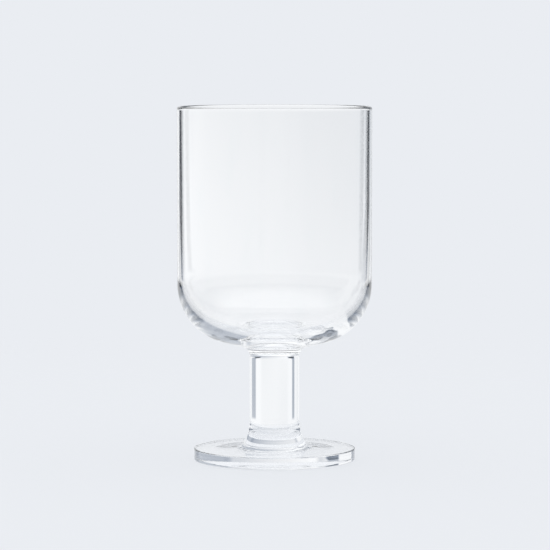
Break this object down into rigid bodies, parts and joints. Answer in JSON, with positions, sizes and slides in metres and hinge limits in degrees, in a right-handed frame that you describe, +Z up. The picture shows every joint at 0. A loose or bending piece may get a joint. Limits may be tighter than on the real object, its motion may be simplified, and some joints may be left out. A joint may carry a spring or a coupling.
{
  "type": "goblet",
  "caption": "Clear glass goblet with a straight-sided round-based bowl, a short thick solid stem and a flat disc foot, for drinks.",
  "frame": {"origin": "centre of the foot's underside, in the plane that the goblet stands on", "axes": "+Z up along the goblet's axis of turning, from foot to lip; X and Y are alike"},
  "size_m": [0.08, 0.08, 0.1455],
  "materials": {
    "bowl_glass": "clear fire-polished glass",
    "stem_glass": "clear solid glass",
    "foot_glass": "clear solid glass"
  },
  "bodies": {
    "root": {"bowl": "bowl_glass", "stem": "stem_glass", "foot": "foot_glass"}
  },
  "joints": []
}
